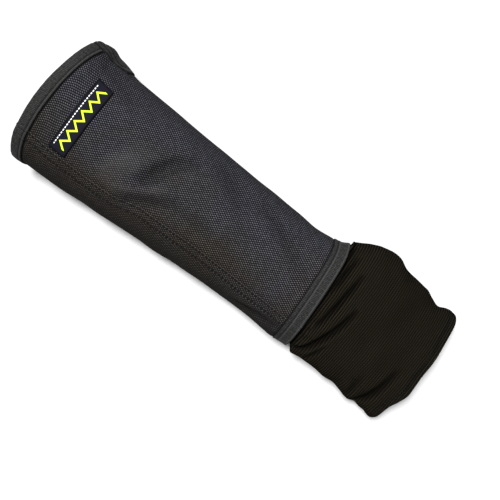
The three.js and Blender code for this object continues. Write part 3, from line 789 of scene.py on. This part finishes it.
def stitchTree():
    tree = bpy.data.node_groups.new("stitchRow", "GeometryNodeTree")
    node = partial(addNode, tree)
    tree.interface.new_socket("Path", in_out="INPUT", socket_type="NodeSocketGeometry")
    for name in ("Pitch", "Stitch Length", "Thread Radius"):
        tree.interface.new_socket(name, in_out="INPUT", socket_type="NodeSocketFloat")
    tree.interface.new_socket("Seed", in_out="INPUT", socket_type="NodeSocketInt")
    tree.interface.new_socket("Thread", in_out="INPUT", socket_type="NodeSocketMaterial")
    tree.interface.new_socket("Stitches", in_out="OUTPUT", socket_type="NodeSocketGeometry")
    given = node("NodeGroupInput").outputs
    curve = node("GeometryNodeMeshToCurve", {"Mesh": given["Path"]})
    even = node("GeometryNodeResampleCurve", {"mode": "LENGTH", "Curve": curve, "Length": given["Pitch"]})
    ball = node("GeometryNodeMeshUVSphere", {"Segments": 8, "Rings": 6, "Radius": 0.5})
    girth = node("ShaderNodeMath", {"operation": "MULTIPLY", 0: given["Thread Radius"], 1: 2.0})
    size = node("ShaderNodeCombineXYZ", {"X": given["Stitch Length"], "Y": girth, "Z": girth})
    smooth = node("GeometryNodeSetShadeSmooth", {0: ball})
    stitch = node("GeometryNodeTransform", {"Geometry": smooth, "Scale": size})
    along = node("GeometryNodeInputTangent")
    turn = node("FunctionNodeAlignRotationToVector", {"axis": "X", "Vector": along})
    wander = node("FunctionNodeRandomValue", {
        "data_type": "FLOAT_VECTOR", "Seed": given["Seed"], 0: (0, -stitchLean, -stitchLean),
        1: (0, stitchLean, stitchLean)})
    tilt = node("FunctionNodeEulerToRotation", {0: wander})
    turned = node("FunctionNodeRotateRotation", {"rotation_space": "LOCAL", 0: turn, 1: tilt})
    placed = node("GeometryNodeInstanceOnPoints", {"Points": even, "Instance": stitch, "Rotation": turned})
    real = node("GeometryNodeRealizeInstances", {"Geometry": placed})
    dressed = node("GeometryNodeSetMaterial", {"Geometry": real, "Material": given["Thread"]})
    node("NodeGroupOutput", {"Stitches": dressed})
    return tree


sewingTree = stitchTree()


# paths are lists of points in mm. A closed path ends where it starts.
def sewRows(name, paths, form, thread, seed):
    points, edges = [], []
    for path in paths:
        start = len(points)
        raised = np.asarray(path) * metre
        raised[:, 2] = np.maximum(raised[:, 2], form["radius"] * metre)  # above the surface underneath
        points += raised.tolist()
        edges += [(k, k + 1) for k in range(start, len(points) - 1)]
    guide = bpy.data.meshes.new(name + "Path")
    guide.from_pydata(points, edges, [])
    item = addItem(name + "Path", guide)
    sewing = item.modifiers.new("stitches", "NODES")
    sewing.node_group = sewingTree
    sizes = {"Pitch": form["pitch"] * metre, "Stitch Length": form["length"] * metre,
             "Thread Radius": form["radius"] * metre, "Seed": seed, "Thread": thread}
    for socket in sewingTree.interface.items_tree:
        if socket.in_out == "INPUT" and socket.name in sizes:
            sewing[socket.identifier] = sizes[socket.name]
    bpy.context.view_layer.update()
    made = item.evaluated_get(bpy.context.evaluated_depsgraph_get())
    stitches = bpy.data.meshes.new_from_object(made)
    stitches.name = name
    bpy.data.objects.remove(item)
    bpy.data.meshes.remove(guide)
    return addItem(name, stitches)


def seamPaths():
    form, first, last = stitchForm["seam"], bodyForm["seamTop"], bodyForm["seamFoot"]
    x = np.linspace(elbowEnd + tapeForm["elbowWidth"] + form["fromTape"],
                    wristEnd - form["beforeWrist"], form["points"])
    degrees = (last - first) / bodyForm["seamWidth"]
    return [bodyPoint(x, first + row * degrees, -form["stand"]) for row in clothDetail["rows"]]


def tapePaths():
    form, column = stitchForm["tape"], wrapped(np.append(bodyColumns, bodyColumns[0]))
    elbowX = elbowEdge(column) + elbowTapeReach(column) * (1 - elbowTape["sewnAt"] / tapeForm["elbowWidth"])
    wristX = wristEdge(column) - tapeForm["wristWidth"] - wristTape["rowAt"]
    rows = [(elbowX, -tapeStand - form["outside"]),
            (elbowX, innerTapeFace + tapeForm["thickness"] + form["inside"]),
            (wristX, -sewnGap - form["strip"])]
    return [bodyPoint(x, column, np.full(x.shape, inset)) for x, inset in rows]


def labelPaths():
    form, inset = stitchForm["label"], labelForm["border"]
    length, width = labelForm["length"], bodyForm["labelWidth"] / 2
    corners = [(inset, -width + inset), (length - inset, -width + inset),
               (length - inset, width - inset), (inset, width - inset)]
    outline = []
    for (a0, c0), (a1, c1) in zip(corners, corners[1:] + corners[:1]):
        outline += [(mix(a0, a1, t), mix(c0, c1, t)) for t in np.linspace(0, 1, form["pointsASide"])[:-1]]
    outline.append(outline[0])
    x, column = labelPlaces(*np.array(outline).T)
    stand = sewnGap + form["stand"] * labelForm["thickness"]
    return [bodyPoint(x, column, np.full(x.shape, -stand))]


def hemPaths():
    angle = wrapped(np.append(cuffColumns, cuffColumns[0]))
    inset = np.full(angle.shape, -stitchForm["hem"]["stand"])
    return [cuffPoint(hemEdge(angle) - row, angle, inset) for row in knitDetail["hemRows"]]


# sRGB hex to linear
def colour(hexValue):
    parts = [int(hexValue[k:k + 2], 16) / 255 for k in (1, 3, 5)]
    return tuple(c / 12.92 if c <= 0.04045 else ((c + 0.055) / 1.055) ** 2.4 for c in parts) + (1.0,)


def newMaterial(name, settings):
    material = bpy.data.materials.new(name)
    material.use_nodes = True
    tree = material.node_tree
    tree.nodes.clear()

    def node(kind, given=None):
        return addNode(tree, "ShaderNode" + kind, given)

    surface = node("BsdfPrincipled", settings)
    node("OutputMaterial", {"Surface": surface})
    return material, node, surface


paintedLightTone = {"paintedShadeShare": 0.85, "paintedHighlight": 0.6}  # how far the strongest painted shade and the strongest painted highlight change the colour


# Painted shade turns hollows, folds and shaded sides nearly black, and painted highlights lighten edges.
# height lifts the bump.
def dress(material, node, surface, cloth, height, look):
    link = material.node_tree.links.new
    depth = node("Attribute", {"attribute_name": "groove"}).outputs["Fac"]
    paintedShadeShare = node("Math", {"operation": "MULTIPLY", "use_clamp": True, 0: depth, 1: paintedLightTone["paintedShadeShare"]})
    paintedHighlight = node("Math", {"operation": "MULTIPLY", "use_clamp": True, 0: depth, 1: -paintedLightTone["paintedHighlight"]})
    dark = node("Mix", {"data_type": "RGBA", 0: paintedShadeShare, 6: cloth, 7: colour(look["groove"])})
    light = node("Mix", {"data_type": "RGBA", 0: paintedHighlight, 6: dark.outputs[2], 7: colour(look["paintedHighlight"])})
    bump = node("Bump", {
        "Strength": look["bumpStrength"], "Distance": look["bump"] * metre, "Height": height})
    link(light.outputs[2], surface.inputs["Base Color"])
    link(bump.outputs[0], surface.inputs["Normal"])
    return material


# Place on the cloth in metres, plain and with a slow drift, so that no row of threads runs dead straight
def driftedPlace(node, look):
    place = node("UVMap", {"uv_map": "cloth"})
    wander = node("TexNoise", {"Scale": look["driftScale"], "Detail": 2.0, "Vector": place})
    reach = look["drift"] * metre
    drift = node("VectorMath", {
        "operation": "MULTIPLY_ADD", 0: wander.outputs["Color"], 1: (reach, reach, 0), 2: place})
    return place, drift


canvasLook = {
    "warpPitch": 1.25, "weftPitch": 2.12,  # real threads lie 1.2 and 2.06 mm apart, just too fine
    "warmCrown": "#59534a", "coolCrown": "#5f6069", "gap": "#020202", "wornGap": "#0c0b0d",
    # colours of the painted shade and the painted highlight
    "groove": "#050505", "paintedHighlight": "#3d3b37",
    "crownRoughness": 0.6, "gapRoughness": 0.95, "bump": 0.25, "bumpStrength": 0.9, "fuzzHeight": 0.25,
    "crownPower": 3.8, "weakest": 0.55, "drift": 1.2, "driftScale": 60.0, "fuzzScale": 900.0,
    "toneScale": 14.0, "shadeLean": 5.5, "toneFrom": 0.2, "toneTo": 0.6,  # random tone, and painted shade: warmer and darker towards the seam's side
}


def makeCanvas(look):
    # Solution-dyed polyester canvas, plain weave of thick yarns: matt, with a light crown on each yarn
    material, node, surface = newMaterial("charcoalCanvas", {"Specular IOR Level": 0.05})
    place, drift = driftedPlace(node, look)
    inThreads = node("VectorMath", {
        "operation": "MULTIPLY", 0: drift,
        1: (1 / (look["weftPitch"] * metre), 1 / (look["warpPitch"] * metre), 0)})
    turns = node("VectorMath", {"operation": "MULTIPLY", 0: inThreads, 1: (math.pi, math.pi, 0)})
    waves = node("VectorMath", {"operation": "COSINE", 0: turns})
    parts = node("SeparateXYZ", {0: waves})
    checker = node("Math", {"operation": "MULTIPLY", 0: parts.outputs["X"], 1: parts.outputs["Y"]})
    lift = node("MapRange", {"From Min": -1.0, "From Max": 1.0, "Value": checker})
    half = node("VectorMath", {"operation": "ADD", 0: inThreads, 1: (0.5, 0.5, 0)})
    cell = node("VectorMath", {"operation": "FLOOR", 0: half})
    chance = node("TexWhiteNoise", {"noise_dimensions": "2D", "Vector": cell})
    strength = node("MapRange", {"To Min": look["weakest"], "To Max": 1.0, "Value": chance})
    fuzz = node("TexNoise", {"Scale": look["fuzzScale"], "Detail": 3.0, "Vector": place})
    raised = node("Math", {"operation": "POWER", 0: lift, 1: look["crownPower"]})
    crowns = node("Math", {"operation": "MULTIPLY", 0: raised, 1: strength})
    objectPlace = node("TexCoord").outputs["Object"]
    tone = node("TexNoise", {"Scale": look["toneScale"], "Detail": 2.0, "Vector": objectPlace})
    # Crowns turn warmer and darker towards -Y, the seam's side, as painted shade, with random tone over it
    side = node("SeparateXYZ", {0: objectPlace})
    toneAndShade = node("Math", {"operation": "MULTIPLY_ADD", 0: side.outputs["Y"], 1: look["shadeLean"], 2: tone})
    toneShare = node("MapRange", {"From Min": look["toneFrom"], "From Max": look["toneTo"], "Value": toneAndShade})
    crown = node("Mix", {
        "data_type": "RGBA", 0: toneShare, 6: colour(look["warmCrown"]), 7: colour(look["coolCrown"])})
    gap = node("Mix", {"data_type": "RGBA", 0: fuzz, 6: colour(look["gap"]), 7: colour(look["wornGap"])})
    cloth = node("Mix", {"data_type": "RGBA", 0: crowns, 6: gap.outputs[2], 7: crown.outputs[2]})
    gleam = node("MapRange", {
        "To Min": look["gapRoughness"], "To Max": look["crownRoughness"], "Value": crowns})
    material.node_tree.links.new(gleam.outputs[0], surface.inputs["Roughness"])
    height = node("Math", {"operation": "MULTIPLY_ADD", 0: fuzz, 1: look["fuzzHeight"], 2: crowns})
    return dress(material, node, surface, cloth.outputs[2], height.outputs[0], look)


tapeLook = {
    # the last two colours are the painted shade and the painted highlight
    "ribPitch": 1.7, "rib": "#373736", "between": "#0d0d0d", "groove": "#040404", "paintedHighlight": "#393939",
    "bump": 0.22, "bumpStrength": 0.8, "grainScale": 520.0, "grainFrom": 0.3, "grainTo": 0.7,
}


def makeTape(look):
    # Polyester grosgrain binding tape: smooth, a little lighter than the canvas, fine ribs across it
    material, node, surface = newMaterial("greyGrosgrain", {"Roughness": 0.68, "Specular IOR Level": 0.06})
    place = node("UVMap", {"uv_map": "cloth"})
    parts = node("SeparateXYZ", {0: place})
    turn = node("Math", {
        "operation": "MULTIPLY", 0: parts.outputs["Y"], 1: 2 * math.pi / (look["ribPitch"] * metre)})
    wave = node("Math", {"operation": "COSINE", 0: turn})
    rib = node("MapRange", {"From Min": -1.0, "From Max": 1.0, "Value": wave})
    wear = node("TexNoise", {"Scale": look["grainScale"], "Detail": 3.0, "Vector": place})
    grain = node("MapRange", {"From Min": look["grainFrom"], "From Max": look["grainTo"], "Value": wear})
    share = node("Math", {"operation": "MULTIPLY", 0: rib, 1: grain})
    cloth = node("Mix", {"data_type": "RGBA", 0: share, 6: colour(look["between"]), 7: colour(look["rib"])})
    return dress(material, node, surface, cloth.outputs[2], share.outputs[0], look)


knitLook = {
    "wale": 2.7, "course": 2.5,  # real wales lie about 1.4 mm apart, too fine to show
    # the last two colours are the painted shade and the painted highlight
    "yarn": "#443f34", "gap": "#010101", "groove": "#020202", "paintedHighlight": "#2a2822",
    "bump": 0.5, "bumpStrength": 0.8, "slant": 1.3, "loopPower": 5.0, "fuzzHeight": 0.06,
    "drift": 2.0, "driftScale": 45.0, "fuzzScale": 1100.0,
}


def makeKnit(look):
    # Black cotton and polyester rib knit: soft and matt, columns of small V stitches
    material, node, surface = newMaterial("blackRibKnit", {"Roughness": 0.95, "Specular IOR Level": 0.0})
    place, drift = driftedPlace(node, look)
    parts = node("SeparateXYZ", {0: drift})
    wale = node("Math", {"operation": "DIVIDE", 0: parts.outputs["Y"], 1: look["wale"] * metre})
    leg = node("Math", {"operation": "PINGPONG", 0: wale, 1: 0.5})
    course = node("Math", {"operation": "DIVIDE", 0: parts.outputs["X"], 1: look["course"] * metre})
    slanted = node("Math", {"operation": "MULTIPLY_ADD", 0: leg, 1: look["slant"], 2: course})
    turn = node("Math", {"operation": "MULTIPLY", 0: slanted, 1: 2 * math.pi})
    wave = node("Math", {"operation": "COSINE", 0: turn})
    loops = node("MapRange", {"From Min": -1.0, "From Max": 1.0, "Value": wave})
    legTurn = node("Math", {"operation": "MULTIPLY", 0: leg, 1: 2 * math.pi})
    rounded = node("Math", {"operation": "SINE", 0: legTurn})
    both = node("Math", {"operation": "MULTIPLY", 0: loops, 1: rounded})
    yarn = node("Math", {"operation": "POWER", 0: both, 1: look["loopPower"]})
    fuzz = node("TexNoise", {"Scale": look["fuzzScale"], "Detail": 3.0, "Vector": place})
    height = node("Math", {"operation": "MULTIPLY_ADD", 0: fuzz, 1: look["fuzzHeight"], 2: yarn})
    cloth = node("Mix", {"data_type": "RGBA", 0: height, 6: colour(look["gap"]), 7: colour(look["yarn"])})
    return dress(material, node, surface, cloth.outputs[2], height.outputs[0], look)


labelLook = {
    # the last two colours are the painted shade and the painted highlight
    "ground": "#101019", "lime": "#c3e62d", "white": "#dcdcdc", "groove": "#010101", "paintedHighlight": "#1c1c26",
    "zigPitch": 12, "zigHeight": 7.5, "zigUp": 1.2, "lineWidth": 1.7, "softEdge": 0.15, "ends": 6,
    "dashPitch": 3.2, "dashShare": 0.3, "dashFrom": 3.6, "dashWidth": 0.9,
    "threadScale": 800.0, "bump": 0.1, "bumpStrength": 0.3,
}


def makeLabelCloth(look):
    # Damask-woven polyester label: close satin, black, with a lime zigzag and a broken white line
    material, node, surface = newMaterial("blackWovenLabel", {"Roughness": 0.7, "Specular IOR Level": 0.04})
    place = node("UVMap", {"uv_map": "cloth"})
    inMillimetres = node("VectorMath", {"operation": "SCALE", "Scale": 1 / metre, 0: place})
    parts = node("SeparateXYZ", {0: inMillimetres})
    along, across = parts.outputs["X"], parts.outputs["Y"]
    steepness = 2 * look["zigHeight"] / look["zigPitch"]
    zig = node("Math", {"operation": "PINGPONG", 0: along, 1: look["zigPitch"] / 2})
    rise = node("Math", {
        "operation": "MULTIPLY_ADD", 0: zig, 1: steepness, 2: -look["zigHeight"] / 2 + look["zigUp"]})
    off = node("Math", {"operation": "SUBTRACT", 0: across, 1: rise})
    far = node("Math", {"operation": "ABSOLUTE", 0: off})
    slope = math.hypot(1, steepness)
    onZig = node("MapRange", {
        "From Min": (look["lineWidth"] / 2 - look["softEdge"]) * slope,
        "From Max": (look["lineWidth"] / 2 + look["softEdge"]) * slope, "To Min": 1.0, "To Max": 0.0,
        "Value": far})
    length = labelForm["length"]
    middle = node("Math", {"operation": "SUBTRACT", 0: along, 1: length / 2})
    fromMiddle = node("Math", {"operation": "ABSOLUTE", 0: middle})
    inside = node("Math", {"operation": "LESS_THAN", 0: fromMiddle, 1: length / 2 - look["ends"]})
    lime = node("Math", {"operation": "MULTIPLY", 0: onZig, 1: inside})
    dashX = node("Math", {"operation": "PINGPONG", 0: along, 1: look["dashPitch"] / 2})
    dashOn = node("Math", {"operation": "LESS_THAN", 0: dashX, 1: look["dashPitch"] * look["dashShare"]})
    dashY = node("Math", {"operation": "ADD", 0: across, 1: bodyForm["labelWidth"] / 2 - look["dashFrom"]})
    dashFar = node("Math", {"operation": "ABSOLUTE", 0: dashY})
    onRow = node("Math", {"operation": "LESS_THAN", 0: dashFar, 1: look["dashWidth"] / 2})
    dash = node("Math", {"operation": "MULTIPLY", 0: dashOn, 1: onRow})
    white = node("Math", {"operation": "MULTIPLY", 0: dash, 1: inside})
    withLime = node("Mix", {"data_type": "RGBA", 0: lime, 6: colour(look["ground"]), 7: colour(look["lime"])})
    withWhite = node("Mix", {"data_type": "RGBA", 0: white, 6: withLime.outputs[2], 7: colour(look["white"])})
    threads = node("TexWave", {"Scale": look["threadScale"], "bands_direction": "Y", "Vector": place})
    return dress(material, node, surface, withWhite.outputs[2], threads.outputs[1], look)


threadLook = {"seam": "#080808", "tape": "#131314", "hem": "#0c0b09", "shadeShare": 0.6, "twistScale": 1800.0}


def makeThread(name, look, hexValue):
    # Bonded polyester sewing thread: smooth yarn with a faint shine
    material, node, surface = newMaterial(name, {"Roughness": 0.7, "Specular IOR Level": 0.12})
    objectPlace = node("TexCoord").outputs["Object"]
    twist = node("TexNoise", {"Scale": look["twistScale"], "Detail": 1.0, "Vector": objectPlace})
    shade = tuple(c * look["shadeShare"] for c in colour(hexValue)[:3]) + (1.0,)
    ramp = node("Mix", {"data_type": "RGBA", 0: twist, 6: shade, 7: colour(hexValue)})
    material.node_tree.links.new(ramp.outputs[2], surface.inputs["Base Color"])
    return material


canvas, tape, knit = makeCanvas(canvasLook), makeTape(tapeLook), makeKnit(knitLook)
labelCloth = makeLabelCloth(labelLook)
seamThread, tapeThread, hemThread = (
    makeThread(name, threadLook, threadLook[use])
    for name, use in (("blackPolyesterThread", "seam"), ("charcoalPolyesterThread", "tape"),
                      ("brownBlackPolyesterThread", "hem")))
print("materials made")

seamStitches = sewRows("seamStitches", seamPaths(), stitchForm["seam"], seamThread, 1)
tapeStitches = sewRows("tapeStitches", tapePaths(), stitchForm["tape"], tapeThread, 2)
labelStitches = sewRows("labelStitches", labelPaths(), stitchForm["label"], seamThread, 3)
hemStitches = sewRows("hemStitches", hemPaths(), stitchForm["hem"], hemThread, 4)
print("stitches sewn")


# Each piece with its material, the record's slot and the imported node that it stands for
pieces = [
    (shell, canvas, "woven_cloth", "sleeve_shell"),
    (elbowBinding, tape, "binding_tape", "elbow_binding"),
    (wristBinding, tape, "binding_tape", "wrist_binding"),
    (cuff, knit, "rib_knit", "knit_cuff"),
    (label, labelCloth, "label_cloth", "label"),
    (seamStitches, None, "woven_cloth", None),
    (tapeStitches, None, "binding_tape", None),
    (labelStitches, None, "label_cloth", None),
    (hemStitches, None, "rib_knit", None),
]


def pointsOf(item):
    places = np.empty(len(item.data.vertices) * 3, np.float32)
    item.data.vertices.foreach_get("co", places)
    return places.reshape(-1, 3)


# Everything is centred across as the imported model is
tapeY, cuffY = pointsOf(elbowBinding)[:, 1], pointsOf(cuff)[:, 1]
sideways = -(tapeY.min() + cuffY.max()) / 2
for item, material, slotName, node in pieces:
    places = pointsOf(item)
    places[:, 1] += sideways
    item.data.vertices.foreach_set("co", places.ravel())
    item.data.update()
    if material:
        item.data.materials.append(material)
    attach(item, "root")
    if node:
        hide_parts(node)
print("pieces placed, moved sideways by %.2f mm" % (sideways / metre))


floorForm = {"size": 4.0, "level": -0.0003, "paper": "#acacac"}  # metres


def makeFloor(form):
    mesh = bpy.data.meshes.new("surface")
    half, level = form["size"] / 2, form["level"]
    mesh.from_pydata([(-half, -half, level), (half, -half, level), (half, half, level), (-half, half, level)],
                     [], [(0, 1, 2, 3)])
    item = addItem("surface", mesh)
    # Matt white card: it shows pure white under this light
    material = newMaterial("whiteCard", {
        "Roughness": 0.9, "Base Color": colour(form["paper"]), "Specular IOR Level": 0.0})[0]
    mesh.materials.append(material)


studioLight = {
    "from": (-0.4, 0.16, 1.0), "strength": 8.1, "softness": 20,  # the side it comes from, and degrees
    "room": 0.5,
}


def makeLight(settings):
    light = bpy.data.lights.new("softLight", "SUN")
    light.energy = settings["strength"]
    light.angle = math.radians(settings["softness"])
    item = addItem("softLight", light)
    item.location = settings["from"]
    item.rotation_euler = (-item.location).to_track_quat("-Z", "Y").to_euler()
    world = bpy.data.worlds.new("room")
    world.use_nodes = True
    background = world.node_tree.nodes["Background"]
    background.inputs["Color"].default_value = (1, 1, 1, 1)
    background.inputs["Strength"].default_value = settings["room"]
    bpy.context.scene.world = world
    bpy.context.scene.view_settings.view_transform = "Standard"


makeFloor(floorForm)
makeLight(studioLight)
print("surface and lights made")
